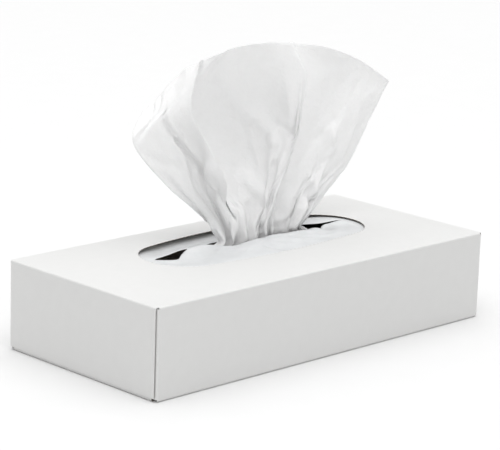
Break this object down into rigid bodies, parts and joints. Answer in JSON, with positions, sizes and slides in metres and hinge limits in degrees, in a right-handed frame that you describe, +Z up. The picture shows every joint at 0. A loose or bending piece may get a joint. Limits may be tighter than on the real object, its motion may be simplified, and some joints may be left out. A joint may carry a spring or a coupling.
{
  "type": "tissue box",
  "caption": "Flat rectangular carton of facial tissues with a torn-open oval, a slit dispensing film under it and one tissue standing up through the slit.",
  "frame": {"origin": "middle of the carton's base, on the surface it rests on", "axes": "+X along the box towards its right end, -Y towards its front long side, +Z up"},
  "size_m": [0.23, 0.108, 0.1492],
  "materials": {
    "coated_board": "white clay-coated folding boxboard, satin outside, grey-brown uncoated inside",
    "film": "thin hazy polyethylene film",
    "tissue_paper": "soft creped two-ply tissue, embossed with a fine grain"
  },
  "bodies": {
    "root": {"carton": "coated_board", "window_film": "film", "tissue_stack": "tissue_paper", "popped_tissue": "tissue_paper"}
  },
  "joints": []
}
